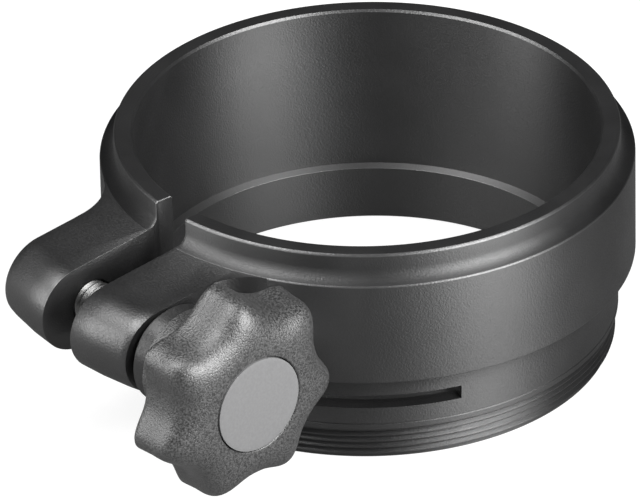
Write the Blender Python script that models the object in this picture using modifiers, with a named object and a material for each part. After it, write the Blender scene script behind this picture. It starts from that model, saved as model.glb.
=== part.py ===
"""Digiscoping adapter: a split clamp ring for an eyepiece, closed by a star-knob screw.

The ring stands on its thread end at z = 0 with its axis parallel to Z, the two lugs
point to -Y and the knob sticks out towards +X. All sizes are metres. The pieces are made
round the ring's axis and moved together at the end, so that the origin is the middle of
the underside of the whole adapter's box.
"""

import math

import bmesh
import bpy
from mathutils import Vector

MM = 0.001

# Ring heights, measured up from the thread end face
RING_HEIGHT = 26.4 * MM
LEDGE_HEIGHT = 6.4 * MM
WALL_FOOT_HEIGHT = 11.0 * MM
SHOULDER_DROP = 3.05 * MM

# Ring across: the lower bore, the ledge that stops the eyepiece, and the metal outside them
LOWER_BORE_RADIUS = 24.7 * MM
LEDGE_WIDTH = 1.3 * MM
CLAMP_WALL = 3.8 * MM
SLEEVE_WALL = 1.85 * MM
THREAD_STEP = 0.35 * MM

# Small turned details of the ring
BORE_CHAMFER = 0.4 * MM
LIP_CHAMFER = 0.4 * MM
COVE_RADIUS = 1.3 * MM
SHOULDER_LAND = 0.1 * MM
EDGE_BREAK = 0.2 * MM
THREAD_LENGTH = 3.75 * MM
THREAD_END_CHAMFER = 0.35 * MM
SCRIBE_ABOVE_THREAD = 0.8 * MM
SCRIBE_DEPTH = 0.08 * MM

# Relief slit that frees the clamping half from the threaded half
SLIT_HEIGHT = 1.6 * MM
SLIT_ABOVE_LEDGE = 0.3 * MM
SLIT_HALF_ANGLE = math.radians(71.2)

# Split and lugs
SPLIT_WIDTH = 4.8 * MM
LUG_THICKNESS = 8.15 * MM
LUG_LENGTH = 14.7 * MM
LUG_END_HEIGHT = 10.0 * MM
LUG_MID_DROP = 9.0 * MM
LUG_FILLET_RADIUS = 7.0 * MM
LUG_SEAT_DROP = 0.05 * MM

# Screw, running parallel to X through both lugs
SCREW_RADIUS = 2.5 * MM
SCREW_FROM_LUG_END = 7.2 * MM
SCREW_BELOW_LUG_MIDDLE = 0.1 * MM
SCREW_TIP_CHAMFER = 0.5 * MM
SCREW_TIP_INSET = 0.6 * MM
HEAD_ACROSS_FLATS = 8.0 * MM
HEAD_HEIGHT = 3.5 * MM
HEAD_CHAMFER = 0.4 * MM

# Thrust washer and metal bush behind the knob
WASHER_RADIUS = 5.0 * MM
WASHER_THICKNESS = 0.4 * MM
WASHER_CHAMFER = 0.08 * MM
BUSH_RADIUS = 5.75 * MM
BUSH_NECK_LENGTH = 2.0 * MM
BUSH_CHAMFER = 0.3 * MM
BUSH_SPIGOT_RADIUS = 4.2 * MM
BUSH_SPIGOT_LENGTH = 5.0 * MM

# Star knob, lofted from round to seven lobes and back
KNOB_LOBES = 7
KNOB_TIP_RADIUS = 12.25 * MM
KNOB_WAIST_RADIUS = 10.15 * MM
KNOB_FRONT_LAND = 0.55 * MM
KNOB_HUB_LENGTH = 2.6 * MM
KNOB_FLARE_LENGTH = 2.9 * MM
KNOB_RIM_LENGTH = 2.0 * MM
KNOB_DOME_LENGTH = 4.8 * MM
KNOB_LOBE_SHARPNESS = 0.3
KNOB_FLARE_ROUNDNESS = 1.4
KNOB_DOME_ROUNDNESS = 3.6
KNOB_DRAFT = 0.03
KNOB_TURN = math.radians(36.3)

# Snap-in cap over the screw head
CAP_RADIUS = 5.5 * MM
CAP_THICKNESS = 1.1 * MM
CAP_CROWN = 0.2 * MM
CAP_PROUD = 0.05 * MM

# Clearances
CLEARANCE = 0.3 * MM
CAP_GAP = 0.15 * MM

# How finely round things are divided
RING_STEPS = 128
SMALL_STEPS = 40
KNOB_STEPS = 12
ARC_STEPS = 6
SHARP_ANGLE = math.radians(32.0)
MERGE_DISTANCE = 0.001 * MM
OVERSHOOT = 2.0 * MM

# Places worked out from the sizes above
CLAMP_BORE_RADIUS = LOWER_BORE_RADIUS + LEDGE_WIDTH
WALL_RADIUS = CLAMP_BORE_RADIUS + CLAMP_WALL
SLEEVE_RADIUS = CLAMP_BORE_RADIUS + SLEEVE_WALL
THREAD_RADIUS = SLEEVE_RADIUS - THREAD_STEP
LIP_RADIUS = WALL_RADIUS - EDGE_BREAK - SHOULDER_LAND - COVE_RADIUS
SHOULDER_HEIGHT = RING_HEIGHT - SHOULDER_DROP
SLIT_FLOOR = LEDGE_HEIGHT + SLIT_ABOVE_LEDGE
SLIT_ROOF = SLIT_FLOOR + SLIT_HEIGHT
LUG_REACH = WALL_RADIUS + LUG_LENGTH
LUG_MID_HEIGHT = RING_HEIGHT - LUG_MID_DROP
LUG_END_RADIUS = LUG_END_HEIGHT / 2
LUG_FACE = SPLIT_WIDTH / 2 + LUG_THICKNESS
SCREW_HOLE_RADIUS = SCREW_RADIUS + CLEARANCE
WASHER_BACK = LUG_FACE + CLEARANCE
BUSH_BACK = WASHER_BACK + WASHER_THICKNESS + CLEARANCE
BUSH_SHOULDER = BUSH_BACK + BUSH_NECK_LENGTH
KNOB_CORE_RADIUS = CAP_RADIUS + CAP_GAP + KNOB_FRONT_LAND
KNOB_BACK = BUSH_SHOULDER + CLEARANCE
KNOB_FLARE_START = KNOB_BACK + KNOB_HUB_LENGTH
KNOB_RIM_START = KNOB_FLARE_START + KNOB_FLARE_LENGTH
KNOB_DOME_START = KNOB_RIM_START + KNOB_RIM_LENGTH
KNOB_FRONT = KNOB_DOME_START + KNOB_DOME_LENGTH
SPIGOT_END = BUSH_SHOULDER + BUSH_SPIGOT_LENGTH
POCKET_FLOOR = SPIGOT_END + CLEARANCE
HEAD_BACK = POCKET_FLOOR + CLEARANCE
HEAD_FRONT = HEAD_BACK + HEAD_HEIGHT
CAP_FRONT = KNOB_FRONT + CAP_PROUD
CAP_BACK = CAP_FRONT - CAP_THICKNESS
CAP_SEAT = CAP_BACK - CLEARANCE
SCREW_OUT = LUG_REACH - SCREW_FROM_LUG_END
SCREW_HEIGHT = LUG_MID_HEIGHT - SCREW_BELOW_LUG_MIDDLE
SCREW_AXIS_POINT = Vector((0.0, -SCREW_OUT, SCREW_HEIGHT))


def clear_scene():
    """Remove everything that is in the file."""
    for old in list(bpy.data.objects):
        bpy.data.objects.remove(old, do_unlink=True)


def new_collection(name):
    """Make a collection under the scene."""
    made = bpy.data.collections.new(name)
    bpy.context.scene.collection.children.link(made)
    return made


def make_material(name, colour, roughness, metallic):
    """A plain Principled material."""
    material = bpy.data.materials.new(name)
    material.use_nodes = True
    shader = material.node_tree.nodes["Principled BSDF"]
    shader.inputs["Base Color"].default_value = (*colour, 1.0)
    shader.inputs["Roughness"].default_value = roughness
    shader.inputs["Metallic"].default_value = metallic
    return material


def anodised_black(name):
    """Fine satin black of the turned aluminium ring and bush."""
    return make_material(name, (0.035, 0.035, 0.036), 0.38, 0.6)


def bright_steel():
    """Plated steel of the screw."""
    return make_material("bright_steel", (0.55, 0.55, 0.54), 0.28, 1.0)


def black_fibre():
    """Dull black of the thrust washer."""
    return make_material("black_fibre", (0.012, 0.012, 0.012), 0.6, 0.0)


def grained_plastic():
    """Sparked black plastic of the knob."""
    return make_material("grained_plastic", (0.05, 0.05, 0.052), 0.5, 0.0)


def gloss_cap():
    """Smooth glossy plastic of the cap."""
    return make_material("gloss_cap", (0.3, 0.3, 0.31), 0.12, 0.3)


def arc(centre, radius, start, end, steps=ARC_STEPS):
    """Points of a circular arc, angles in radians."""
    points = []
    for step in range(steps + 1):
        angle = start + (end - start) * step / steps
        points.append((centre[0] + radius * math.cos(angle), centre[1] + radius * math.sin(angle)))
    return points


def tangent_angle(point, centre, radius, side):
    """Direction from a circle's centre to where a line from the point touches it."""
    across = point[0] - centre[0]
    up = point[1] - centre[1]
    return math.atan2(up, across) - side * math.acos(radius / math.hypot(across, up))


def link_mesh(name, mesh, collection):
    """Put a mesh in the scene as an object."""
    made = bpy.data.objects.new(name, mesh)
    collection.objects.link(made)
    return made


def turned(name, outline, steps, collection):
    """Spin a closed outline of (radius, height) points about Z."""
    mesh = bpy.data.meshes.new(name)
    points = [(radius, 0.0, height) for radius, height in outline]
    edges = [(index, (index + 1) % len(points)) for index in range(len(points))]
    mesh.from_pydata(points, edges, [])
    made = link_mesh(name, mesh, collection)
    spin = made.modifiers.new("spin", "SCREW")
    spin.axis = "Z"
    spin.steps = steps
    spin.render_steps = steps
    spin.use_merge_vertices = True
    spin.merge_threshold = MERGE_DISTANCE
    bake(made)
    return made


def plate(name, outline, bottom, top, collection):
    """A flat plate with a closed plan outline, from one height to another."""
    curve = bpy.data.curves.new(name, "CURVE")
    curve.dimensions = "2D"
    curve.fill_mode = "BOTH"
    curve.extrude = (top - bottom) / 2
    spline = curve.splines.new("POLY")
    spline.points.add(len(outline) - 1)
    for point, (across, along) in zip(spline.points, outline):
        point.co = (across, along, 0.0, 1.0)
    spline.use_cyclic_u = True
    drawn = bpy.data.objects.new(name + "_outline", curve)
    collection.objects.link(drawn)
    drawn.location.z = (top + bottom) / 2
    bpy.context.view_layer.update()
    mesh = bpy.data.meshes.new_from_object(drawn.evaluated_get(bpy.context.evaluated_depsgraph_get()))
    made = link_mesh(name, mesh, collection)
    made.matrix_world = drawn.matrix_world
    bpy.data.objects.remove(drawn)
    tidy(made)
    return made


def prism(name, sides, radius, bottom, top, collection):
    """A straight prism or cylinder about Z."""
    mesh = bpy.data.meshes.new(name)
    shape = bmesh.new()
    bmesh.ops.create_cone(shape, cap_ends=True, segments=sides, radius1=radius, radius2=radius,
                          depth=top - bottom)
    bmesh.ops.translate(shape, verts=shape.verts, vec=(0.0, 0.0, (top + bottom) / 2))
    shape.to_mesh(mesh)
    shape.free()
    return link_mesh(name, mesh, collection)


def box(name, low, high, collection):
    """A box between two corners."""
    mesh = bpy.data.meshes.new(name)
    shape = bmesh.new()
    bmesh.ops.create_cube(shape, size=1.0)
    size = Vector(high) - Vector(low)
    bmesh.ops.scale(shape, verts=shape.verts, vec=size)
    bmesh.ops.translate(shape, verts=shape.verts, vec=Vector(low) + size / 2)
    shape.to_mesh(mesh)
    shape.free()
    return link_mesh(name, mesh, collection)


def tidy(made):
    """Weld coincident points and turn all faces outwards."""
    shape = bmesh.new()
    shape.from_mesh(made.data)
    bmesh.ops.remove_doubles(shape, verts=shape.verts, dist=MERGE_DISTANCE)
    bmesh.ops.recalc_face_normals(shape, faces=shape.faces)
    shape.to_mesh(made.data)
    shape.free()


def bake(made):
    """Turn an object's modifiers into its mesh."""
    bpy.context.view_layer.update()
    graph = bpy.context.evaluated_depsgraph_get()
    mesh = bpy.data.meshes.new_from_object(made.evaluated_get(graph))
    made.modifiers.clear()
    made.data = mesh
    tidy(made)


def combine(made, tool, operation):
    """Join another solid on, cut it out or keep only what is common."""
    step = made.modifiers.new(tool.name, "BOOLEAN")
    step.operation = operation
    step.solver = "EXACT"
    step.object = tool
    bake(made)


def finish(made, material):
    """Give an object its material and its smooth shading."""
    made.data.materials.clear()
    made.data.materials.append(material)
    made.data.shade_smooth()
    made.data.set_sharp_from_angle(angle=SHARP_ANGLE)


def lay_on_screw_axis(made):
    """Turn a piece made about Z so that its axis lies along the screw."""
    made.rotation_euler = (0.0, math.pi / 2, 0.0)
    made.location = SCREW_AXIS_POINT


def ring_outline():
    """Section of the turned ring: down the outside, across the end and up the bore."""
    cove_centre = (LIP_RADIUS + COVE_RADIUS, SHOULDER_HEIGHT + COVE_RADIUS)
    scribe_height = THREAD_LENGTH + SCRIBE_ABOVE_THREAD
    return [
        (CLAMP_BORE_RADIUS + BORE_CHAMFER, RING_HEIGHT),
        (LIP_RADIUS - LIP_CHAMFER, RING_HEIGHT),
        (LIP_RADIUS, RING_HEIGHT - LIP_CHAMFER),
        *arc(cove_centre, COVE_RADIUS, math.pi, 1.5 * math.pi),
        (WALL_RADIUS - EDGE_BREAK, SHOULDER_HEIGHT),
        (WALL_RADIUS, SHOULDER_HEIGHT - EDGE_BREAK),
        (WALL_RADIUS, WALL_FOOT_HEIGHT + EDGE_BREAK),
        (WALL_RADIUS - EDGE_BREAK, WALL_FOOT_HEIGHT),
        (SLEEVE_RADIUS, WALL_FOOT_HEIGHT),
        (SLEEVE_RADIUS, scribe_height + SCRIBE_DEPTH),
        (SLEEVE_RADIUS - SCRIBE_DEPTH, scribe_height),
        (SLEEVE_RADIUS, scribe_height - SCRIBE_DEPTH),
        (SLEEVE_RADIUS, THREAD_LENGTH),
        (THREAD_RADIUS, THREAD_LENGTH),
        (THREAD_RADIUS, THREAD_END_CHAMFER),
        (THREAD_RADIUS - THREAD_END_CHAMFER, 0.0),
        (LOWER_BORE_RADIUS, 0.0),
        (LOWER_BORE_RADIUS, LEDGE_HEIGHT),
        (CLAMP_BORE_RADIUS, LEDGE_HEIGHT),
        (CLAMP_BORE_RADIUS, RING_HEIGHT - BORE_CHAMFER),
    ]


def flange_outline():
    """Section of the turned flange that the lugs are milled from, with its full round rim."""
    root = (CLAMP_BORE_RADIUS + WALL_RADIUS) / 2
    rim_centre = (LUG_REACH - LUG_END_RADIUS, LUG_MID_HEIGHT)
    top_seat = (WALL_RADIUS - EDGE_BREAK, SHOULDER_HEIGHT - LUG_SEAT_DROP)
    foot_seat = (WALL_RADIUS, WALL_FOOT_HEIGHT + EDGE_BREAK + LUG_SEAT_DROP)
    start = tangent_angle(top_seat, rim_centre, LUG_END_RADIUS, 1.0)
    end = tangent_angle(foot_seat, rim_centre, LUG_END_RADIUS, -1.0)
    if end > 0.0:
        end -= 2 * math.pi
    rim = arc(rim_centre, LUG_END_RADIUS, start, end, steps=3 * ARC_STEPS)
    return [(root, top_seat[1]), top_seat, *rim, foot_seat, (root, foot_seat[1])]


def lug_plan():
    """Plan outline of the lug block, with the milled fillets that run out on the wall."""
    fillet_across = LUG_FACE + LUG_FILLET_RADIUS
    fillet_along = math.sqrt((WALL_RADIUS + LUG_FILLET_RADIUS) ** 2 - fillet_across ** 2)
    wall_touch = math.atan2(fillet_along, -fillet_across)
    fillet = arc((fillet_across, -fillet_along), LUG_FILLET_RADIUS, wall_touch, math.pi,
                 steps=2 * ARC_STEPS)
    root = CLAMP_BORE_RADIUS + (WALL_RADIUS - CLAMP_BORE_RADIUS) / 4
    inner_angle = math.atan2(-fillet_along, fillet_across)
    inner = arc((0.0, 0.0), root, inner_angle, -math.pi - inner_angle, steps=4 * ARC_STEPS)
    far = -(LUG_REACH + OVERSHOOT)
    right_side = [*fillet, (LUG_FACE, far)]
    left_side = [(-across, along) for across, along in reversed(right_side)]
    return [*right_side, *left_side, *reversed(inner)]


def slit_plan():
    """Plan outline of the relief slit: a long curved slot round the split."""
    middle = -math.pi / 2
    inner = CLAMP_BORE_RADIUS - OVERSHOOT / 4
    outer = SLEEVE_RADIUS + OVERSHOOT
    steps = RING_STEPS // 3
    first = middle - SLIT_HALF_ANGLE
    last = middle + SLIT_HALF_ANGLE
    return [*arc((0.0, 0.0), outer, first, last, steps), *arc((0.0, 0.0), inner, last, first, steps)]


def build_clamp_ring(parts, cutters):
    """The one-piece ring: turned body, milled lugs, split, relief slit and cross hole."""
    ring = turned("clamp_ring", ring_outline(), RING_STEPS, parts)
    flange = turned("flange_blank", flange_outline(), RING_STEPS, cutters)
    lug_block = plate("lug_block", lug_plan(), 0.0, RING_HEIGHT, cutters)
    combine(flange, lug_block, "INTERSECT")
    combine(ring, flange, "UNION")

    split_side = SPLIT_WIDTH / 2
    split = box("split_saw", (-split_side, -(LUG_REACH + OVERSHOOT), (SLIT_FLOOR + SLIT_ROOF) / 2),
                (split_side, -LOWER_BORE_RADIUS / 2, RING_HEIGHT + OVERSHOOT), cutters)
    combine(ring, split, "DIFFERENCE")

    slit = plate("slit_cutter", slit_plan(), SLIT_FLOOR, SLIT_ROOF, cutters)
    combine(ring, slit, "DIFFERENCE")

    hole_end = LUG_FACE + OVERSHOOT
    hole = prism("screw_hole_drill", SMALL_STEPS, SCREW_HOLE_RADIUS, -hole_end, hole_end, cutters)
    lay_on_screw_axis(hole)
    combine(ring, hole, "DIFFERENCE")
    finish(ring, anodised_black("anodised_ring"))
    return ring


def screw_outline():
    """Section of the screw's shank, from the chamfered tip to the seat of the head."""
    tip = SCREW_TIP_INSET - LUG_FACE
    return [
        (0.0, HEAD_BACK + HEAD_CHAMFER),
        (SCREW_RADIUS, HEAD_BACK + HEAD_CHAMFER),
        (SCREW_RADIUS, tip + SCREW_TIP_CHAMFER),
        (SCREW_RADIUS - SCREW_TIP_CHAMFER, tip),
        (0.0, tip),
    ]


def head_outline():
    """Section of a turned head blank, chamfered at the front."""
    corner = HEAD_ACROSS_FLATS / math.sqrt(3)
    return [
        (0.0, HEAD_FRONT),
        (corner - HEAD_CHAMFER, HEAD_FRONT),
        (corner, HEAD_FRONT - HEAD_CHAMFER / math.sqrt(3)),
        (corner, HEAD_BACK),
        (0.0, HEAD_BACK),
    ]


def build_clamp_screw(parts, cutters):
    """Hexagon screw that the knob turns and that pulls the far lug."""
    screw = turned("clamp_screw", screw_outline(), SMALL_STEPS, parts)
    head = turned("head_blank", head_outline(), SMALL_STEPS, cutters)
    hexagon = prism("head_hexagon", 6, HEAD_ACROSS_FLATS / math.sqrt(3), HEAD_BACK - OVERSHOOT,
                    HEAD_FRONT + OVERSHOOT, cutters)
    combine(head, hexagon, "INTERSECT")
    combine(screw, head, "UNION")
    lay_on_screw_axis(screw)
    finish(screw, bright_steel())
    return screw


def build_thrust_washer(parts):
    """Thin washer that the bush turns against."""
    washer_front = WASHER_BACK + WASHER_THICKNESS
    outline = [
        (SCREW_HOLE_RADIUS, washer_front),
        (WASHER_RADIUS - WASHER_CHAMFER, washer_front),
        (WASHER_RADIUS, washer_front - WASHER_CHAMFER),
        (WASHER_RADIUS, WASHER_BACK + WASHER_CHAMFER),
        (WASHER_RADIUS - WASHER_CHAMFER, WASHER_BACK),
        (SCREW_HOLE_RADIUS, WASHER_BACK),
    ]
    washer = turned("thrust_washer", outline, SMALL_STEPS, parts)
    lay_on_screw_axis(washer)
    finish(washer, black_fibre())
    return washer


def build_knob_bush(parts):
    """Metal bush that carries the knob: a smooth neck and a spigot inside the plastic."""
    outline = [
        (SCREW_HOLE_RADIUS, SPIGOT_END),
        (BUSH_SPIGOT_RADIUS, SPIGOT_END),
        (BUSH_SPIGOT_RADIUS, BUSH_SHOULDER),
        (BUSH_RADIUS - BUSH_CHAMFER, BUSH_SHOULDER),
        (BUSH_RADIUS, BUSH_SHOULDER - BUSH_CHAMFER),
        (BUSH_RADIUS, BUSH_BACK + BUSH_CHAMFER),
        (BUSH_RADIUS - BUSH_CHAMFER, BUSH_BACK),
        (SCREW_HOLE_RADIUS, BUSH_BACK),
    ]
    bush = turned("knob_bush", outline, SMALL_STEPS, parts)
    lay_on_screw_axis(bush)
    finish(bush, anodised_black("anodised_bush"))
    return bush


def star_radius(angle):
    """Radius of the full star outline in one direction."""
    wave = math.cos(KNOB_LOBES * (angle - KNOB_TURN))
    wave -= KNOB_LOBE_SHARPNESS * (1 - wave ** 2)
    return (KNOB_TIP_RADIUS + KNOB_WAIST_RADIUS) / 2 + (KNOB_TIP_RADIUS - KNOB_WAIST_RADIUS) / 2 * wave


def knob_stations():
    """Height and reach of each section: hub, flare to the full star, rim and dome."""
    stations = [(KNOB_BACK, 0.0)]
    for step in range(ARC_STEPS + 1):
        share = step / ARC_STEPS
        reach = 1 - (1 - share) ** KNOB_FLARE_ROUNDNESS
        stations.append((KNOB_FLARE_START + KNOB_FLARE_LENGTH * share, reach))
    for step in range(ARC_STEPS + 1):
        share = math.sin(math.pi / 2 * step / ARC_STEPS)
        reach = (1 - KNOB_DRAFT) * math.sqrt(1 - share ** KNOB_DOME_ROUNDNESS)
        stations.append((KNOB_DOME_START + KNOB_DOME_LENGTH * share, reach))
    return stations


def loft_star(name, collection):
    """Loft the knob through its sections; each lies between a circle and the full star."""
    sides = KNOB_STEPS * KNOB_LOBES
    mesh = bpy.data.meshes.new(name)
    shape = bmesh.new()
    loops = []
    for height, reach in knob_stations():
        loop = []
        for side in range(sides):
            angle = 2 * math.pi * side / sides
            radius = KNOB_CORE_RADIUS + reach * (star_radius(angle) - KNOB_CORE_RADIUS)
            loop.append(shape.verts.new((-radius * math.sin(angle), -radius * math.cos(angle), height)))
        loops.append(loop)
    for lower, upper in zip(loops, loops[1:]):
        for side in range(sides):
            ahead = (side + 1) % sides
            shape.faces.new((lower[side], lower[ahead], upper[ahead], upper[side]))
    shape.faces.new(loops[0])
    shape.faces.new(loops[-1])
    bmesh.ops.recalc_face_normals(shape, faces=shape.faces)
    shape.to_mesh(mesh)
    shape.free()
    return link_mesh(name, mesh, collection)


def knob_bore_outline():
    """Section of what is hollow in the knob: the spigot's bore and the cap's seat."""
    spigot_bore = BUSH_SPIGOT_RADIUS + CLEARANCE
    cap_bore = CAP_RADIUS + CAP_GAP
    return [
        (0.0, KNOB_FRONT + OVERSHOOT),
        (cap_bore, KNOB_FRONT + OVERSHOOT),
        (cap_bore, CAP_SEAT),
        (SCREW_HOLE_RADIUS, CAP_SEAT),
        (SCREW_HOLE_RADIUS, POCKET_FLOOR),
        (spigot_bore, POCKET_FLOOR),
        (spigot_bore, KNOB_BACK - OVERSHOOT),
        (0.0, KNOB_BACK - OVERSHOOT),
    ]


def build_star_knob(parts, cutters):
    """The lobed plastic knob with its bore, its hexagon pocket and the seat of its cap."""
    knob = loft_star("star_knob", parts)
    bore = turned("knob_bore_cutter", knob_bore_outline(), SMALL_STEPS, cutters)
    combine(knob, bore, "DIFFERENCE")
    pocket_corner = (HEAD_ACROSS_FLATS / 2 + CLEARANCE) / math.cos(math.pi / 6)
    pocket = prism("pocket_cutter", 6, pocket_corner, POCKET_FLOOR, CAP_SEAT + CLEARANCE / 2, cutters)
    combine(knob, pocket, "DIFFERENCE")
    lay_on_screw_axis(knob)
    finish(knob, grained_plastic())
    return knob


def build_knob_cap(parts):
    """Slightly crowned cap that snaps in over the screw head."""
    crown_radius = (CAP_RADIUS ** 2 + CAP_CROWN ** 2) / (2 * CAP_CROWN)
    crown_centre = CAP_FRONT + CAP_CROWN - crown_radius
    rim_angle = math.acos(CAP_RADIUS / crown_radius)
    crown = arc((0.0, crown_centre), crown_radius, math.pi / 2, rim_angle)
    cap = turned("knob_cap", [*crown, (CAP_RADIUS, CAP_BACK), (0.0, CAP_BACK)], SMALL_STEPS, parts)
    lay_on_screw_axis(cap)
    finish(cap, gloss_cap())
    return cap


def stand_on_origin(parts):
    """Move the whole adapter so that the middle of its box's underside is the origin."""
    bpy.context.view_layer.update()
    corners = [made.matrix_world @ vertex.co for made in parts.objects for vertex in made.data.vertices]
    low = [min(corner[axis] for corner in corners) for axis in range(3)]
    high = [max(corner[axis] for corner in corners) for axis in range(3)]
    middle = Vector(((low[0] + high[0]) / 2, (low[1] + high[1]) / 2, low[2]))
    for made in parts.objects:
        made.location -= middle


def main():
    clear_scene()
    parts = new_collection("digiscoping_adapter")
    cutters = new_collection("cutters")
    build_clamp_ring(parts, cutters)
    build_clamp_screw(parts, cutters)
    build_thrust_washer(parts)
    build_knob_bush(parts)
    build_star_knob(parts, cutters)
    build_knob_cap(parts)
    stand_on_origin(parts)
    for tool in cutters.objects:
        tool.hide_render = True
        tool.display_type = "WIRE"


main()
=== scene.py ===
# %% [markdown]
# # A split clamp ring for a telescope eyepiece
# The object is a digiscoping adapter: a black turned ring that grips an eyepiece, with a
# camera thread on its lower end and a star knob that closes the clamp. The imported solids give
# every place and size. This lesson dresses them: it cuts the real threads, breaks the sharp
# edges, and gives each piece the surface that its maker would have given it.

# %% Load the frame
import math

import bmesh
import bpy
import numpy as np
from mathutils import Matrix, Vector


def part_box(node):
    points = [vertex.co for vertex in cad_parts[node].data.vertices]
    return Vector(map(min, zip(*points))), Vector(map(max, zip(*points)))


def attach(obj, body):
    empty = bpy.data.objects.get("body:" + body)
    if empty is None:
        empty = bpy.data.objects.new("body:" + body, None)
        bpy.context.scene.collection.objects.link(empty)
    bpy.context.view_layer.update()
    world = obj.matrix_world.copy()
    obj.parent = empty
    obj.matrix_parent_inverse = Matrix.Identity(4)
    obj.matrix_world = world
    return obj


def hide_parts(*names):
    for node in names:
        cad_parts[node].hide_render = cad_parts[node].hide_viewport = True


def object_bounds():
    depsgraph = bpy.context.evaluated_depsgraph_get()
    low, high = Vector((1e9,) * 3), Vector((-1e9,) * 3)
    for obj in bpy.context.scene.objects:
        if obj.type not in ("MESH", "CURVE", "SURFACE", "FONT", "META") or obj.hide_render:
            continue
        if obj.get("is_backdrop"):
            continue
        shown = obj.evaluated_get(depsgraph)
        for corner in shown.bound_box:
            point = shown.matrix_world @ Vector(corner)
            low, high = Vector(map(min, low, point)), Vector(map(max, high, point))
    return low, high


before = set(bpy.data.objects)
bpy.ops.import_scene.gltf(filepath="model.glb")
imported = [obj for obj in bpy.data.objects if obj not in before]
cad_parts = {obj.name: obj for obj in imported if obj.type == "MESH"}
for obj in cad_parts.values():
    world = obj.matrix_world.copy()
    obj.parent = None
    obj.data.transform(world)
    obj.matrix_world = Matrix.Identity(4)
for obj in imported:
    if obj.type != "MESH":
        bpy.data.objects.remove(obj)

cad_low, cad_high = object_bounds()
MM = 0.001
print("solids:", sorted(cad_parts))

# %% [markdown]
# ## Where things are
# The ring's axis stands upright and the screw's axis lies across it, parallel to X. Both are
# read from the solids' boxes, so the dressed pieces land exactly on them.

# %% Find the two axes
WALL_RADIUS = 29.8 * MM
ring_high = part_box("clamp_ring")[1]
washer_low, washer_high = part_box("thrust_washer")
bush_low, bush_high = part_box("knob_bush")
knob_low, knob_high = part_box("star_knob")
cap_low, cap_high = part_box("knob_cap")
RING_AXIS = Vector((0.0, ring_high.y - WALL_RADIUS, 0.0))
RING_TOP = ring_high.z
SCREW_AXIS = Vector((0.0, (washer_low.y + washer_high.y) / 2, (washer_low.z + washer_high.z) / 2))
print("ring axis at y = %.2f mm" % (RING_AXIS.y / MM))
print("screw axis at y = %.2f mm, z = %.2f mm" % (SCREW_AXIS.y / MM, SCREW_AXIS.z / MM))

# %% [markdown]
# ## Tools of the workshop
# Almost everything here was turned on a lathe, so the main tool spins an outline of
# (radius, height) points about an axis. It can also change the radius as it goes round, which
# is how a thread is cut: the groove climbs by one pitch in each turn.


# %% Lathe, saw and file
def arc(centre, radius, start, end, steps):
    """Points of a circular arc, angles in degrees."""
    angles = np.radians(np.linspace(start, end, steps + 1))
    return [(centre[0] + radius * math.cos(a), centre[1] + radius * math.sin(a)) for a in angles]


def mesh_object(name, verts, faces):
    """A mesh with its coincident points welded and its faces turned outwards."""
    mesh = bpy.data.meshes.new(name)
    mesh.from_pydata(verts, [], faces)
    shape = bmesh.new()
    shape.from_mesh(mesh)
    bmesh.ops.remove_doubles(shape, verts=shape.verts, dist=1e-7)
    bmesh.ops.dissolve_degenerate(shape, edges=shape.edges, dist=1e-8)
    bmesh.ops.recalc_face_normals(shape, faces=shape.faces)
    shape.to_mesh(mesh)
    shape.free()
    made = bpy.data.objects.new(name, mesh)
    bpy.context.scene.collection.objects.link(made)
    return made


def lathe(name, outline, steps, cut=None, start=0.0):
    """Spin a closed outline about Z. cut(angle, radius, height) gives the radius left there.

    start turns the mesh by a share of one step, to keep its lines away from a later cut.
    """
    cut = cut or (lambda angle, radius, height: radius)
    count = len(outline)
    verts = []
    for step in range(steps):
        angle = 2 * math.pi * (step + start) / steps
        for radius, height in outline:
            left = cut(angle, radius, height)
            verts.append((left * math.cos(angle), left * math.sin(angle), height))
    faces = []
    for step in range(steps):
        here, ahead = step * count, (step + 1) % steps * count
        for row in range(count):
            following = (row + 1) % count
            faces.append((here + row, ahead + row, ahead + following, here + following))
    return mesh_object(name, verts, faces)


def slab(name, outline, bottom, top):
    """A plate with a closed plan outline."""
    count = len(outline)
    verts = [(x, y, bottom) for x, y in outline] + [(x, y, top) for x, y in outline]
    faces = [tuple(range(count)), tuple(range(count, 2 * count))]
    for row in range(count):
        following = (row + 1) % count
        faces.append((row, following, count + following, count + row))
    return mesh_object(name, verts, faces)


def combine(made, tool, operation):
    """Join on, cut out or keep only what is common, and use the tool up."""
    step = made.modifiers.new("step", "BOOLEAN")
    step.operation = operation
    step.solver = "EXACT"
    step.object = tool
    bpy.context.view_layer.update()
    graph = bpy.context.evaluated_depsgraph_get()
    mesh = bpy.data.meshes.new_from_object(made.evaluated_get(graph))
    made.modifiers.clear()
    made.data = mesh
    bpy.data.objects.remove(tool, do_unlink=True)


def thread_depth(angle, height, pitch, depth):
    """How deep a right-hand V groove with a flat crest is at one place."""
    phase = (height / pitch - angle / (2 * math.pi)) % 1.0
    slope = abs(phase - 0.5) * 2.0
    return depth * min(1.0, max(0.0, 1.12 - 1.3 * slope))


def ease(value, start, end):
    """Nought before start, one after end, smooth between."""
    share = min(1.0, max(0.0, (value - start) / (end - start)))
    return share * share * (3 - 2 * share)


# %% [markdown]
# ## The ring
# One bar of aluminium becomes the whole ring. The lathe leaves a flat land round the mouth,
# a hollow cove that runs out to the wall, a step down to the sleeve, a scribed line, and the
# fine thread. The lugs start as a turned flange with a full round rim, which is why their ends
# are slightly bowed, and a mill then leaves two lugs of it with hollow corners to the wall.

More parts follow.
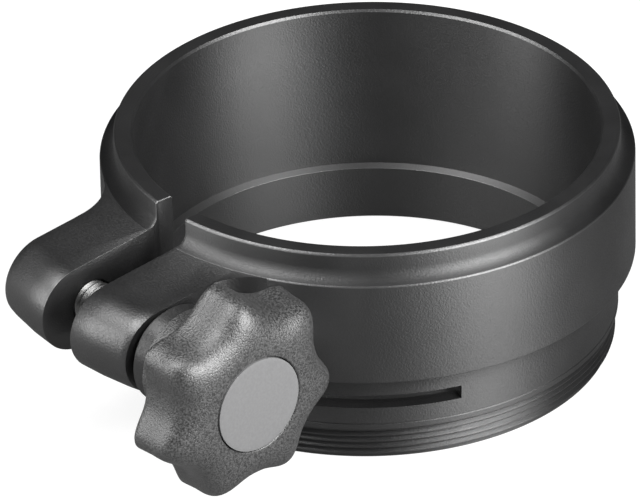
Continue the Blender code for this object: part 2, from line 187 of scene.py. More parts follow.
# %% Sizes of the ring
SHOULDER = RING_TOP - 3.05 * MM
COVE_RADIUS = 1.3 * MM
FOOT = 11.0 * MM
LIP_RADIUS = 28.2 * MM
BORE_RADIUS = 26.0 * MM
LOWER_BORE_RADIUS = 24.7 * MM
SLEEVE_RADIUS = 27.85 * MM
CREST_RADIUS = 27.5 * MM
LEDGE = 6.4 * MM
THREAD_PITCH = 0.75 * MM
THREAD_DEPTH = 0.4 * MM
THREAD_TOP = 3.75 * MM
THREAD_CHAMFER = 0.4 * MM
SCRIBE = 4.6 * MM
SCRIBE_DEPTH = 0.1 * MM
END_BREAK = 0.15 * MM
SPLIT_SIDE = 2.4 * MM
LUG_FACE = 10.55 * MM
LUG_REACH = 44.5 * MM
RIM_RADIUS = 5.0 * MM
RIM_HEIGHT = RING_TOP - 9.0 * MM
FILLET_RADIUS = 7.0 * MM
EDGE = 0.2 * MM
LIP_ROUND = 0.35 * MM
MOUTH_BREAK = 0.25 * MM
LEDGE_BREAK = 0.03 * MM
SLIT_FLOOR = 6.7 * MM
SLIT_ROOF = 8.3 * MM
SLIT_HALF_ANGLE = 71.2
SCREW_RADIUS = 2.5 * MM
OVERLAP = 0.02 * MM
OVERSHOOT = 2 * MM
RING_STEPS = 288
FLANGE_STEPS = 72


def ring_outline():
    """The ring's section: down the outside, across the end and up the bore."""
    threads = [(CREST_RADIUS, z) for z in np.linspace(THREAD_TOP, THREAD_CHAMFER, 56)]
    return [
        (BORE_RADIUS + MOUTH_BREAK, RING_TOP),
        *arc((LIP_RADIUS - LIP_ROUND, RING_TOP - LIP_ROUND), LIP_ROUND, 90, 0, 6),
        (LIP_RADIUS, SHOULDER + 1.5 * MM),
        *arc((LIP_RADIUS + COVE_RADIUS, SHOULDER + COVE_RADIUS), COVE_RADIUS, 180, 270, 14),
        *arc((WALL_RADIUS - EDGE, SHOULDER - EDGE), EDGE, 90, 0, 4),
        *arc((WALL_RADIUS - EDGE, FOOT + EDGE), EDGE, 0, -90, 4),
        (SLEEVE_RADIUS, FOOT),
        (SLEEVE_RADIUS, SCRIBE + SCRIBE_DEPTH),
        (SLEEVE_RADIUS - SCRIBE_DEPTH, SCRIBE),
        (SLEEVE_RADIUS, SCRIBE - SCRIBE_DEPTH),
        (SLEEVE_RADIUS, THREAD_TOP + 0.2 * MM),
        (SLEEVE_RADIUS - 0.15 * MM, THREAD_TOP + 0.05 * MM),
        *threads,
        (CREST_RADIUS - THREAD_CHAMFER, 0.0),
        (LOWER_BORE_RADIUS + END_BREAK, 0.0),
        (LOWER_BORE_RADIUS, END_BREAK),
        (LOWER_BORE_RADIUS, LEDGE - LEDGE_BREAK),
        (LOWER_BORE_RADIUS + LEDGE_BREAK, LEDGE),
        (BORE_RADIUS, LEDGE),
        (BORE_RADIUS, RING_TOP - MOUTH_BREAK),
    ]


def cut_camera_thread(angle, radius, height):
    """The M55 x 0.75 thread, which fades out under the scribed line."""
    if abs(radius - CREST_RADIUS) > 1e-6 or height > THREAD_TOP:
        return radius
    fade = 1.0 - ease(height, THREAD_TOP - 0.5 * MM, THREAD_TOP)
    return radius - fade * thread_depth(angle, height, THREAD_PITCH, THREAD_DEPTH)


# %% Turn the ring and the flange for the lugs
def touching(point, centre, radius, side):
    """Angle on a circle, in degrees, where a line from a point touches it."""
    across, up = point[0] - centre[0], point[1] - centre[1]
    return math.degrees(math.atan2(up, across) - side * math.acos(radius / math.hypot(across, up)))


def flange_outline():
    """The turned flange: sloped top and underside, and a full round rim."""
    root = (BORE_RADIUS + WALL_RADIUS) / 2
    centre = (LUG_REACH - RIM_RADIUS, RIM_HEIGHT)
    top = (WALL_RADIUS - EDGE, SHOULDER - OVERLAP)
    foot = (WALL_RADIUS, FOOT + EDGE + OVERLAP)
    start = touching(top, centre, RIM_RADIUS, 1.0)
    end = touching(foot, centre, RIM_RADIUS, -1.0)
    end = end - 360.0 if end > 0.0 else end
    return [(root, top[1]), top, *arc(centre, RIM_RADIUS, start, end, 40), foot, (root, foot[1])]


def lug_plan():
    """Plan of the milled block: lug faces, hollow corners, and a root inside the wall."""
    across = LUG_FACE + FILLET_RADIUS
    along = math.sqrt((WALL_RADIUS + FILLET_RADIUS) ** 2 - across ** 2)
    touch = math.degrees(math.atan2(along, -across))
    corner = arc((across, -along), FILLET_RADIUS, touch, 180.0, 24)
    right = [*corner, (LUG_FACE, -LUG_REACH - OVERSHOOT)]
    left = [(-x, y) for x, y in reversed(right)]
    inner = math.degrees(math.atan2(-along, across))
    root = arc((0.0, 0.0), BORE_RADIUS + 1.0 * MM, -180.0 - inner, inner, 40)
    return [*right, *left, *root]


def slit_plan():
    """Plan of the long curved slit that frees the two clamping arms."""
    first, last = -90.0 - SLIT_HALF_ANGLE, -90.0 + SLIT_HALF_ANGLE
    outer = arc((0.0, 0.0), SLEEVE_RADIUS + OVERSHOOT, first, last, 96)
    inner = arc((0.0, 0.0), BORE_RADIUS - 0.6 * MM, last, first, 96)
    return [*outer, *inner]


def across_x(made):
    """Lay a piece made about Z along the screw's axis, in the ring's own place."""
    quarter_turn = Matrix.Rotation(math.pi / 2, 4, "Y")
    made.matrix_world = Matrix.Translation(SCREW_AXIS - RING_AXIS) @ quarter_turn


ring = lathe("ring_body", ring_outline(), RING_STEPS, cut_camera_thread, start=0.5)
flange = lathe("flange", flange_outline(), FLANGE_STEPS, start=0.5)
combine(flange, slab("lug_block", lug_plan(), 0.0, RING_TOP), "INTERSECT")
combine(ring, flange, "UNION")
print("ring blank:", len(ring.data.polygons), "faces")

# %% [markdown]
# ## Splitting the clamp
# A saw cut runs down between the lugs and meets the slit, and the screw passes through both
# lugs: a plain hole in the near one, a tapped hole in the far one.

# %% Saw the split, mill the slit, drill the lugs
SAW_FRONT, SAW_BACK = -50 * MM, -12 * MM
PLAIN_HOLE = 2.8 * MM
TAPPED_HOLE = 2.56 * MM
TAP_MOUTH = 2.76 * MM
DRILL_REACH = 12 * MM

saw_plan = [(-SPLIT_SIDE, SAW_FRONT), (SPLIT_SIDE, SAW_FRONT), (SPLIT_SIDE, SAW_BACK),
            (-SPLIT_SIDE, SAW_BACK)]
saw = slab("saw", saw_plan, (SLIT_FLOOR + SLIT_ROOF) / 2, RING_TOP + OVERSHOOT)
combine(ring, saw, "DIFFERENCE")
combine(ring, slab("slit_mill", slit_plan(), SLIT_FLOOR, SLIT_ROOF), "DIFFERENCE")
near = SPLIT_SIDE - 0.5 * MM
plain = lathe("plain_drill", [
    (0.0, near), (PLAIN_HOLE, near), (PLAIN_HOLE, DRILL_REACH), (0.0, DRILL_REACH)], 64)
across_x(plain)
combine(ring, plain, "DIFFERENCE")
tap = lathe("tap_drill", [
    (0.0, -DRILL_REACH), (TAPPED_HOLE, -DRILL_REACH), (TAPPED_HOLE, -near - 0.7 * MM),
    (TAP_MOUTH, -SPLIT_SIDE), (TAP_MOUTH, -near), (0.0, -near)], 64)
across_x(tap)
combine(ring, tap, "DIFFERENCE")
print("ring after cutting:", len(ring.data.polygons), "faces")


# %% [markdown]
# ## Breaking the edges
# No machinist leaves a knife edge on a part that is handled. The edges of the split and of the
# lugs' outer faces get a small break, which also catches the light as a fine line. Both widths
# come from one bevel with a weight on each edge. The lathe's mesh was turned by half a step, so
# that none of its lines runs close beside the split, where a bevel could fold over it.

# %% Break the milled edges
BREAK_WIDTH = 0.085 * MM
LUG_SHARE = 0.7
ON_THE_PLANE = 0.01 * MM
NEAR_EDGE = 0.05 * MM
BEHIND_SPLIT = -10 * MM
LUG_ENDS = -34 * MM
CORNER_REACH = 5.6 * MM
RIM_BAND = 0.22 * MM


def break_edges(made, width, share_at):
    """Bevel each sharp edge by the share of width that share_at(middle point) gives."""
    shape = bmesh.new()
    shape.from_mesh(made.data)
    bmesh.ops.remove_doubles(shape, verts=shape.verts, dist=2e-6)
    weights = shape.edges.layers.float.new("bevel_weight_edge")
    for edge in shape.edges:
        middle = (edge.verts[0].co + edge.verts[1].co) / 2
        if edge.is_manifold and edge.calc_face_angle() > math.radians(35):
            edge[weights] = share_at(middle)
    shape.to_mesh(made.data)
    shape.free()
    bevel = made.modifiers.new("edge_break", "BEVEL")
    bevel.limit_method = "WEIGHT"
    bevel.width = width
    bevel.segments = 2
    bevel.use_clamp_overlap = False
    bevel.miter_outer = "MITER_ARC"
    bpy.context.view_layer.update()
    graph = bpy.context.evaluated_depsgraph_get()
    mesh = bpy.data.meshes.new_from_object(made.evaluated_get(graph))
    made.modifiers.clear()
    made.data = mesh


def smooth(made, angle):
    """Shade smooth, with sharp edges where faces meet at more than an angle."""
    made.data.shade_smooth()
    made.data.set_sharp_from_angle(angle=math.radians(angle))


def place(made, body, slot, *nodes):
    """Put a dressed piece in the ring's place and let it stand for its solids."""
    made.data.transform(Matrix.Translation(RING_AXIS) @ made.matrix_world)
    made.matrix_world = Matrix.Identity(4)
    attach(made, body)
    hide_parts(*nodes)


def cut_edge(point):
    """Full break along the split, a lighter one round the lugs' outer faces, none elsewhere."""
    if point.y > BEHIND_SPLIT:
        return 0.0
    if abs(abs(point.x) - SPLIT_SIDE) < ON_THE_PLANE and point.z > SLIT_ROOF + NEAR_EDGE:
        return 1.0
    clear_of_corner = math.hypot(point.x, point.y) > WALL_RADIUS + CORNER_REACH
    on_face = abs(abs(point.x) - LUG_FACE) < ON_THE_PLANE
    return LUG_SHARE if clear_of_corner and on_face else 0.0


def milled_face(face):
    """A face that a cutter left and not the lathe: lugs, split and slit."""
    middle, normal = face.center, face.normal
    outside = math.hypot(middle.x, middle.y) > WALL_RADIUS + 0.1 * MM
    lug = outside and (abs(normal.x) > 0.97 or middle.y < LUG_ENDS or abs(normal.z) > 0.8)
    split = middle.y < 0 and abs(middle.x) < SPLIT_SIDE + 0.15 * MM and abs(normal.x) > 0.3
    from_slit = min(abs(middle.z - SLIT_FLOOR), abs(middle.z - SLIT_ROOF))
    slit = from_slit < NEAR_EDGE and abs(normal.z) > 0.9
    land = middle.z > RING_TOP - 0.01 * MM and normal.z > 0.99
    return lug or split or slit or land


def rubbed_face(face):
    """The eyepiece seat and the narrow edges that hands and caps rub."""
    middle = face.center
    reach = math.hypot(middle.x, middle.y)
    seat = abs(middle.z - LEDGE) < NEAR_EDGE
    mouth = middle.z > RING_TOP - 0.4 * MM and reach < LIP_RADIUS + 0.1 * MM
    at_shoulder = SHOULDER - RIM_BAND < middle.z < SHOULDER + 0.01 * MM
    rim = at_shoulder and reach > WALL_RADIUS - RIM_BAND
    return seat or (mouth or rim) and 0.15 < face.normal.z < 0.97


break_edges(ring, BREAK_WIDTH, cut_edge)
smooth(ring, 30)
milled_faces = [face.index for face in ring.data.polygons if milled_face(face)]
rubbed_faces = [face.index for face in ring.data.polygons if rubbed_face(face)]
place(ring, "ring", "anodised_ring", "clamp_ring")
print("ring finished:", len(ring.data.polygons), "faces")

# %% [markdown]
# ## Screw, washer and bush
# The screw is an ordinary M5 machine screw with a coarse rolled thread. Only a few turns show,
# in the split between the lugs. The washer is thin and dull, and the bush is a plain turned
# neck with its corners rounded.

# %% Cut the screw and turn the small parts
SCREW_PITCH = 0.8 * MM
SCREW_THREAD_DEPTH = 0.42 * MM
HEAD_HEIGHT = 3.5 * MM
HEAD_OVERLAP = 0.2 * MM
HEAD_CHAMFER_WIDTH, HEAD_CHAMFER_HEIGHT = 0.45 * MM, 0.25 * MM
PLAIN_SHANK = 0.5 * MM
TIP_CHAMFER = 0.5 * MM
screw_low, screw_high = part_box("clamp_screw")
HEAD_FLATS = screw_high.z - screw_low.z
HEAD_CORNERS = HEAD_FLATS / math.sqrt(3)


def screw_outline():
    """The threaded shank, with enough rows to carry the groove, and a thin plain head end."""
    top = screw_high.x - HEAD_HEIGHT
    rows = [(SCREW_RADIUS, z) for z in np.arange(top, screw_low.x + TIP_CHAMFER, -SCREW_PITCH / 10)]
    return [(0.0, top + HEAD_OVERLAP), (SCREW_RADIUS, top + HEAD_OVERLAP), *rows,
            (SCREW_RADIUS - TIP_CHAMFER, screw_low.x), (0.0, screw_low.x)]


def cut_screw_thread(angle, radius, height):
    """The M5 x 0.8 thread, stopping below the head."""
    if radius < SCREW_RADIUS - 1e-6 or height > screw_high.x - HEAD_HEIGHT - PLAIN_SHANK:
        return radius
    return radius - thread_depth(angle, height, SCREW_PITCH, SCREW_THREAD_DEPTH)


def head_outline():
    """Head blank: flat back, chamfered front."""
    back, front = screw_high.x - HEAD_HEIGHT, screw_high.x
    return [(0.0, front), (HEAD_CORNERS - HEAD_CHAMFER_WIDTH, front),
            (HEAD_CORNERS, front - HEAD_CHAMFER_HEIGHT), (HEAD_CORNERS, back), (0.0, back)]


screw = lathe("screw_thread", screw_outline(), 64, cut_screw_thread)
head = lathe("screw_head", head_outline(), 48)
flats = [(HEAD_CORNERS * math.cos(a), HEAD_CORNERS * math.sin(a))
         for a in np.radians(np.arange(0, 360, 60))]
combine(head, slab("hexagon", flats, screw_high.x - 5 * MM, screw_high.x + MM), "INTERSECT")
combine(screw, head, "UNION")
across_x(screw)
smooth(screw, 40)
place(screw, "knob", "bright_steel", "clamp_screw")

WASHER_BREAK = 0.08 * MM
washer_radius = (washer_high.z - washer_low.z) / 2
washer = lathe("washer_disc", [
    (PLAIN_HOLE, washer_high.x), (washer_radius - WASHER_BREAK, washer_high.x),
    (washer_radius, washer_high.x - WASHER_BREAK), (washer_radius, washer_low.x + WASHER_BREAK),
    (washer_radius - WASHER_BREAK, washer_low.x), (PLAIN_HOLE, washer_low.x)], 96)
across_x(washer)
smooth(washer, 30)
place(washer, "washer", "black_fibre", "thrust_washer")

NECK_LENGTH = 2.0 * MM
SPIGOT_RADIUS = 4.2 * MM
FRONT_ROUND, BACK_ROUND = 0.2 * MM, 0.3 * MM
bush_radius = (bush_high.z - bush_low.z) / 2
shoulder = bush_low.x + NECK_LENGTH
bush = lathe("bush_neck", [
    (PLAIN_HOLE, bush_high.x), (SPIGOT_RADIUS, bush_high.x), (SPIGOT_RADIUS, shoulder),
    *arc((bush_radius - FRONT_ROUND, shoulder - FRONT_ROUND), FRONT_ROUND, 90, 0, 4),
    *arc((bush_radius - BACK_ROUND, bush_low.x + BACK_ROUND), BACK_ROUND, 0, -90, 5),
    (PLAIN_HOLE, bush_low.x)], 128)
across_x(bush)
smooth(bush, 30)
place(bush, "knob", "anodised_bush", "knob_bush")
print("screw:", len(screw.data.polygons), "faces; bush:", len(bush.data.polygons), "faces")

# %% [markdown]
# ## The star knob
# The knob is moulded in black plastic. Seven lobes run from a flared back to a domed front, and
# the cap sits in a shallow seat. It is drawn as a stack of sections between a plain circle at
# each end and the full star in the middle, with a little draft so that it leaves the mould.

# %% Loft the knob
LOBES = 7
TIP_RADIUS = 12.19 * MM
WAIST_RADIUS = 10.15 * MM
CORE_RADIUS = 6.2 * MM
CAP_SEAT_RADIUS = (cap_high.z - cap_low.z) / 2 + 0.15 * MM
HEAD_POCKET_RADIUS = 4.95 * MM
SPIGOT_BORE_RADIUS = 4.5 * MM
CLEARANCE = 0.3 * MM
SEAT_BREAK = 0.1 * MM
HUB_LENGTH = 2.6 * MM
FLARE_LENGTH = 2.9 * MM
DOME_FROM_HUB = 4.9 * MM
DRAFT = 0.03
LOBE_SHARPNESS = 0.3
FLARE_ROUNDNESS = 1.4
DOME_ROUNDNESS = 3.6
KNOB_TURN = math.radians(36.3)


def star(angle):
    """Radius of the full star in one direction."""
    wave = math.cos(LOBES * (angle - KNOB_TURN))
    wave -= LOBE_SHARPNESS * (1 - wave ** 2)
    return (TIP_RADIUS + WAIST_RADIUS) / 2 + (TIP_RADIUS - WAIST_RADIUS) / 2 * wave


def knob_sections():
    """(height, reach) of each section: hub, flare, drafted rim, dome."""
    hub, flare = knob_low.x, knob_low.x + HUB_LENGTH
    rim, dome = flare + FLARE_LENGTH, flare + DOME_FROM_HUB
    sections = [(hub, 0.0), (hub + HUB_LENGTH / 2, 0.0)]
    for share in np.linspace(0.0, 1.0, 14):
        sections.append((flare + (rim - flare) * share, 1 - (1 - share) ** FLARE_ROUNDNESS))
    for share in np.linspace(0.2, 0.8, 4):
        sections.append((rim + (dome - rim) * share, 1 - DRAFT * share))
    for turn in np.linspace(0.0, math.pi / 2, 24):
        share = math.sin(turn)
        reach = (1 - DRAFT) * math.sqrt(max(0.0, 1 - share ** DOME_ROUNDNESS))
        sections.append((dome + (knob_high.x - dome) * share, reach))
    return sections


def loft_knob():
    """Closed loft: the star's skin, the front's seat for the cap and the bore for the bush."""
    steps = 32 * LOBES
    rings = []
    for height, reach in knob_sections():
        rings.append([(CORE_RADIUS + reach * (star(a) - CORE_RADIUS), height) for a in
                      np.linspace(0, 2 * math.pi, steps, endpoint=False)])
    seat, pocket = cap_low.x - CLEARANCE, bush_high.x + CLEARANCE
    inside = [(CAP_SEAT_RADIUS + SEAT_BREAK, knob_high.x),
              (CAP_SEAT_RADIUS, knob_high.x - SEAT_BREAK), (CAP_SEAT_RADIUS, seat),
              (HEAD_POCKET_RADIUS, seat), (HEAD_POCKET_RADIUS, pocket),
              (SPIGOT_BORE_RADIUS, pocket), (SPIGOT_BORE_RADIUS, knob_low.x)]
    rings.extend([[(radius, height)] * steps for radius, height in inside])
    verts = []
    for ring_points in rings:
        for step, (radius, height) in enumerate(ring_points):
            angle = 2 * math.pi * step / steps
            verts.append((-radius * math.sin(angle), -radius * math.cos(angle), height))
    faces = []
    for row in range(len(rings)):
        here, ahead = row * steps, (row + 1) % len(rings) * steps
        for step in range(steps):
            following = (step + 1) % steps
            faces.append((here + step, here + following, ahead + following, ahead + step))
    return mesh_object("knob_body", verts, faces)


knob = loft_knob()
across_x(knob)
smooth(knob, 40)
place(knob, "knob", "grained_plastic", "star_knob")

CROWN = 0.2 * MM
CAP_BREAK = 0.05 * MM
cap_radius = (cap_high.z - cap_low.z) / 2
crown_radius = (cap_radius ** 2 + CROWN ** 2) / (2 * CROWN)
cap_edge = cap_high.x - CROWN
crown_points = []
for radius in np.linspace(0.0, cap_radius - CAP_BREAK, 14):
    rise = math.sqrt(crown_radius ** 2 - radius ** 2)
    crown_points.append((radius, cap_high.x - crown_radius + rise))
cap = lathe("cap_disc", [
    *crown_points, (cap_radius - 0.015 * MM, cap_edge - 0.01 * MM),
    (cap_radius, cap_edge - CAP_BREAK), (cap_radius, cap_low.x), (0.0, cap_low.x)], 128)
across_x(cap)
smooth(cap, 30)
place(cap, "knob", "gloss_cap", "knob_cap")
print("knob:", len(knob.data.polygons), "faces; cap:", len(cap.data.polygons), "faces")


# %% [markdown]
# ## Finishes
# Each finish is a small recipe of nodes measured in millimetres: a fine noise for the grain of
# the surface, a broad one for the slight unevenness that every real batch has, and more shine
# where edges are worn by handling. Turned surfaces stretch a highlight across the tool marks,
# which is what draws the tall bands of light inside the ring. The index of refraction sets how
# much light comes straight back: 1.925 returns a tenth of it, which stands for a thin black
# layer over bright metal, and 2.618 returns a fifth, for the edges that are rubbed.

# %% Recipes for the finishes
SATIN_IOR = 1.925
RUBBED_IOR = 2.618


def finish_nodes(name, roughness, colour, ior=SATIN_IOR, metallic=0.0):
    """A Principled material and handles to wire it."""
    material = bpy.data.materials.new(name)
    material.use_nodes = True
    nodes, links = material.node_tree.nodes, material.node_tree.links
    shader = nodes["Principled BSDF"]
    shader.inputs["Base Color"].default_value = (*colour, 1.0)
    shader.inputs["Roughness"].default_value = roughness
    shader.inputs["Metallic"].default_value = metallic
    shader.inputs["IOR"].default_value = ior
    return material, nodes, links, shader


def noise(nodes, links, size_mm, detail, stretch=(1.0, 1.0, 1.0)):
    """Noise with features of about size_mm, in the piece's own coordinates."""
    where = nodes.new("ShaderNodeTexCoord")
    scale = nodes.new("ShaderNodeMapping")
    scale.inputs["Scale"].default_value = stretch
    texture = nodes.new("ShaderNodeTexNoise")
    texture.inputs["Scale"].default_value = 1.0 / (size_mm * MM)
    texture.inputs["Detail"].default_value = detail
    links.new(where.outputs["Object"], scale.inputs["Vector"])
    links.new(scale.outputs["Vector"], texture.inputs["Vector"])
    return texture.outputs["Fac"]


def spread(nodes, links, value, low, high):
    """Map a nought to one value to a range."""
    ranged = nodes.new("ShaderNodeMapRange")
    ranged.inputs["From Min"].default_value = 0.3
    ranged.inputs["From Max"].default_value = 0.7
    ranged.inputs["To Min"].default_value = low
    ranged.inputs["To Max"].default_value = high
    links.new(value, ranged.inputs["Value"])
    return ranged.outputs["Result"]


def bump(nodes, links, shader, height, depth_mm):
    """Raise the surface by up to depth_mm."""
    made = nodes.new("ShaderNodeBump")
    made.inputs["Distance"].default_value = depth_mm * MM
    made.inputs["Strength"].default_value = 1.0
    links.new(height, made.inputs["Height"])
    links.new(made.outputs["Normal"], shader.inputs["Normal"])


def tint(nodes, links, value, dark, light):
    """Two close colours mixed by a value."""
    ramp = nodes.new("ShaderNodeValToRGB")
    ramp.color_ramp.elements[0].position = 0.35
    ramp.color_ramp.elements[0].color = (*dark, 1.0)
    ramp.color_ramp.elements[1].position = 0.65
    ramp.color_ramp.elements[1].color = (*light, 1.0)
    links.new(value, ramp.inputs["Fac"])
    return ramp.outputs["Color"]


def round_the_axis(nodes, links, shader, point, axis):
    """Run the finish round a lathe axis, so that highlights stretch across the tool marks."""
    where = nodes.new("ShaderNodeNewGeometry")
    out = nodes.new("ShaderNodeVectorMath")
    out.operation = "SUBTRACT"
    out.inputs[1].default_value = point
    along = nodes.new("ShaderNodeVectorMath")
    along.operation = "CROSS_PRODUCT"
    along.inputs[0].default_value = axis
    links.new(where.outputs["Position"], out.inputs[0])
    links.new(out.outputs["Vector"], along.inputs[1])
    links.new(along.outputs["Vector"], shader.inputs["Tangent"])
    shader.inputs["Anisotropic"].default_value = 0.85
    shader.inputs["Anisotropic Rotation"].default_value = 0.25


def anodised(name, roughness, axis=None, point=(0.0, 0.0, 0.0), ior=SATIN_IOR):
    """Lightly blasted, black anodised aluminium: satin and nearly neutral, turned or milled."""
    material, nodes, links, shader = finish_nodes(name, roughness, (0.01, 0.01, 0.01), ior)
    broad = noise(nodes, links, 6.0, 3.0)
    fine = noise(nodes, links, 0.22, 3.0)
    links.new(tint(nodes, links, broad, (0.0075, 0.0075, 0.0077), (0.0125, 0.0125, 0.0128)),
              shader.inputs["Base Color"])
    links.new(spread(nodes, links, fine, roughness - 0.06, roughness + 0.06),
              shader.inputs["Roughness"])
    bump(nodes, links, shader, fine, 0.03)
    if axis:
        round_the_axis(nodes, links, shader, point, axis)
    return material


def grained():
    """Moulded plastic from a spark-eroded mould: a coarse even grain that breaks up the shine."""
    material, nodes, links, shader = finish_nodes("knob_plastic", 0.46, (0.025, 0.025, 0.025))
    grain = noise(nodes, links, 0.19, 1.0)
    links.new(tint(nodes, links, grain, (0.01, 0.01, 0.01), (0.075, 0.075, 0.075)),
              shader.inputs["Base Color"])
    links.new(spread(nodes, links, grain, 0.36, 0.54), shader.inputs["Roughness"])
    bump(nodes, links, shader, grain, 0.06)
    return material


def glossy_cap():
    """Smooth insert with only the faintest waviness."""
    material, nodes, links, shader = finish_nodes("cap_plastic", 0.1, (0.21, 0.21, 0.21))
    wave = noise(nodes, links, 3.0, 1.0)
    dust = noise(nodes, links, 0.3, 3.0)
    links.new(tint(nodes, links, dust, (0.2, 0.2, 0.202), (0.22, 0.22, 0.222)),
              shader.inputs["Base Color"])
    links.new(spread(nodes, links, dust, 0.08, 0.13), shader.inputs["Roughness"])
    bump(nodes, links, shader, wave, 0.002)
    return material


def plated_steel():
    """Bright plated screw with fine rolling marks."""
    material, nodes, links, shader = finish_nodes(
        "screw_steel", 0.45, (0.25, 0.25, 0.25), metallic=1.0)
    marks = noise(nodes, links, 0.4, 3.0, stretch=(0.2, 1.0, 1.0))
    links.new(spread(nodes, links, marks, 0.38, 0.52), shader.inputs["Roughness"])
    links.new(tint(nodes, links, marks, (0.2, 0.2, 0.198), (0.32, 0.32, 0.316)),
              shader.inputs["Base Color"])
    bump(nodes, links, shader, marks, 0.004)
    return material


def fibre():
    """Dull black fibre washer."""
    material, nodes, links, shader = finish_nodes("washer_fibre", 0.7, (0.025, 0.025, 0.025))
    fuzz = noise(nodes, links, 0.15, 3.0)
    links.new(tint(nodes, links, fuzz, (0.02, 0.02, 0.02), (0.035, 0.035, 0.035)),
              shader.inputs["Base Color"])
    bump(nodes, links, shader, fuzz, 0.01)
    return material


# %% Apply the finishes
def coat(made, material):
    """One finish over the whole piece."""
    made.data.materials.clear()
    made.data.materials.append(material)


UPRIGHT = (0.0, 0.0, 1.0)
ALONG_SCREW = (1.0, 0.0, 0.0)
MILLED, RUBBED = 1, 2

coat(ring, anodised("ring_anodised", 0.5, UPRIGHT, RING_AXIS))
ring.data.materials.append(anodised("ring_milled", 0.39))
ring.data.materials.append(anodised("ring_rubbed", 0.5, UPRIGHT, RING_AXIS, RUBBED_IOR))
for index in milled_faces:
    ring.data.polygons[index].material_index = MILLED
for index in rubbed_faces:
    ring.data.polygons[index].material_index = RUBBED
coat(bush, anodised("bush_anodised", 0.48, ALONG_SCREW, SCREW_AXIS))
coat(knob, grained())
coat(cap, glossy_cap())
coat(screw, plated_steel())
coat(washer, fibre())
print("milled faces:", len(milled_faces), "rubbed faces:", len(rubbed_faces))

# %% [markdown]
# ## The table, the light and the camera
# The adapter stands on a pale table. The main softbox is large and stands on the knob's side, a
# smaller one hangs overhead, and a weak one at the front left lights the lugs' ends. Black satin
# metal shows mostly what it reflects, so the places of the softboxes draw its form: a broad
# light on the wall, a dark band beside it, and bright lug ends. The table and the world are
# white for the camera only. Tried once with reflections of that white, the metal went mid grey.

# %% Table and world
TABLE_HALF = 2.5
TABLE_THICKNESS = 0.02
TABLE_GAP = 0.00005
TABLE_GLOW = 0.85
WORLD_LIGHT = 0.036
WHITE = (1.0, 1.0, 1.0, 1.0)

table_plan = [(-TABLE_HALF, -TABLE_HALF), (TABLE_HALF, -TABLE_HALF), (TABLE_HALF, TABLE_HALF),
              (-TABLE_HALF, TABLE_HALF)]
floor = slab("table", table_plan, -TABLE_THICKNESS, -TABLE_GAP)
floor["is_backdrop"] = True
table = bpy.data.materials.new("table_white")
table.use_nodes = True
nodes, links = table.node_tree.nodes, table.node_tree.links
shader = nodes["Principled BSDF"]
shader.inputs["Base Color"].default_value = (0.22, 0.22, 0.22, 1.0)
shader.inputs["Roughness"].default_value = 0.9
path = nodes.new("ShaderNodeLightPath")
glow = nodes.new("ShaderNodeMath")
glow.operation = "MULTIPLY"
glow.inputs[1].default_value = TABLE_GLOW
links.new(path.outputs["Is Camera Ray"], glow.inputs[0])
shader.inputs["Emission Color"].default_value = WHITE
links.new(glow.outputs["Value"], shader.inputs["Emission Strength"])
floor.data.materials.append(table)

world = bpy.data.worlds.new("studio")
bpy.context.scene.world = world
world.use_nodes = True
nodes, links = world.node_tree.nodes, world.node_tree.links
background = nodes["Background"]
path = nodes.new("ShaderNodeLightPath")
mix = nodes.new("ShaderNodeMapRange")
mix.inputs["To Min"].default_value = WORLD_LIGHT
mix.inputs["To Max"].default_value = 1.0
links.new(path.outputs["Is Camera Ray"], mix.inputs["Value"])
background.inputs["Color"].default_value = WHITE
links.new(mix.outputs["Result"], background.inputs["Strength"])


# %% Softboxes
SOFTBOX_DISTANCE = 0.8
SOFTBOX_AIM = Vector((0.0, 0.0, 0.015))
SOFTBOXES = {  # azimuth and elevation in degrees, width and height in metres, watts
    "softbox_right": (103.0, 31.0, 0.52, 0.7, 12.8),
    "softbox_overhead": (-26.0, 62.0, 0.42, 0.42, 5.2),
    "softbox_left": (-32.0, 18.0, 0.34, 0.5, 3.0),
}


def direction(azimuth, elevation):
    """Unit vector from the object: azimuth 0 is towards -Y and 90 towards +X, in degrees."""
    a, e = math.radians(azimuth), math.radians(elevation)
    return Vector((math.sin(a) * math.cos(e), -math.cos(a) * math.cos(e), math.sin(e)))


def softbox(name, azimuth, elevation, width, height, power):
    """A rectangular area light that faces the object."""
    lamp = bpy.data.lights.new(name, "AREA")
    lamp.shape = "RECTANGLE"
    lamp.size, lamp.size_y = width, height
    lamp.energy = power
    made = bpy.data.objects.new(name, lamp)
    towards = direction(azimuth, elevation)
    made.location = SOFTBOX_AIM + towards * SOFTBOX_DISTANCE
    made.rotation_euler = towards.to_track_quat("Z", "Y").to_euler()
    bpy.context.scene.collection.objects.link(made)


for name, settings in SOFTBOXES.items():
    softbox(name, *settings)
print("softboxes:", len(SOFTBOXES), "at", SOFTBOX_DISTANCE, "m")

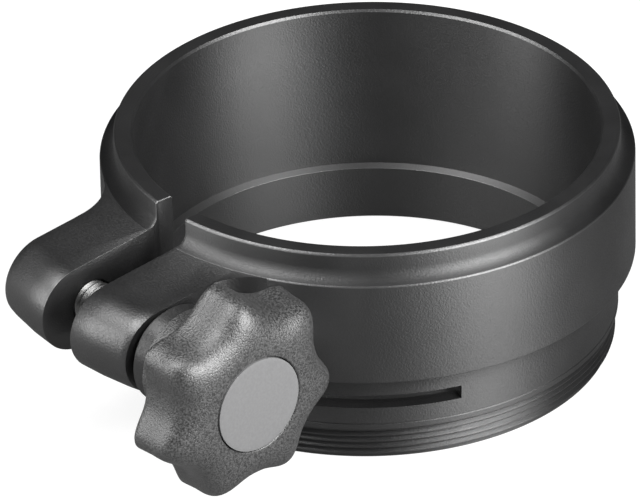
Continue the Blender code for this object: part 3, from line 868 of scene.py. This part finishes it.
# %% [markdown]
# The camera's place was worked out from the ellipses of the ring's edges: it looks down by
# just under 31 degrees from beside the knob, through a long lens, a little over a metre away.

# %% Camera
AZIMUTH = 50.835
ELEVATION = math.degrees(0.53772)
ROLL = -0.02092
RADIUS_PER_DISTANCE = 0.02855
DISTANCE = WALL_RADIUS / RADIUS_PER_DISTANCE
PIXELS_PER_RADIUS = 268.44
AIM_LEFT, AIM_DOWN = 49.618, 123.943  # pixels from the middle of the ring's top
IMAGE_WIDTH = 640
SENSOR_WIDTH = 36.0

towards = direction(AZIMUTH, ELEVATION)
forward = -towards
right = forward.cross(Vector((0.0, 0.0, 1.0))).normalized()
up = right.cross(forward)
aim = Vector((RING_AXIS.x, RING_AXIS.y, RING_TOP))
aim -= right * (AIM_LEFT / PIXELS_PER_RADIUS * WALL_RADIUS)
aim -= up * (AIM_DOWN / PIXELS_PER_RADIUS * WALL_RADIUS)
image_right = right * math.cos(ROLL) + up * math.sin(ROLL)
image_up = up * math.cos(ROLL) - right * math.sin(ROLL)

lens = bpy.data.cameras.new("camera")
lens.sensor_width = SENSOR_WIDTH
lens.lens = SENSOR_WIDTH * PIXELS_PER_RADIUS / RADIUS_PER_DISTANCE / IMAGE_WIDTH
lens.clip_start = 0.1
lens.clip_end = 10.0
camera = bpy.data.objects.new("camera", lens)
turn = Matrix((image_right, image_up, towards)).transposed().to_4x4()
camera.matrix_world = Matrix.Translation(aim + towards * DISTANCE) @ turn
bpy.context.scene.collection.objects.link(camera)
bpy.context.scene.camera = camera
bpy.context.scene.view_settings.view_transform = "Standard"
print("camera: %.0f mm lens at %.2f m" % (lens.lens, DISTANCE))

# %% [markdown]
# Last, the boxes of the solids and of the dressed adapter are printed side by side, where a
# piece that has grown past its solid would show.

# %% Print the sizes and finish
low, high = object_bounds()
for label, corners in (("solids'", (cad_low, cad_high)), ("dressed", (low, high))):
    rounded = [[round(v / MM, 2) for v in corner] for corner in corners]
    print("%s box %s to %s mm" % (label, *rounded))
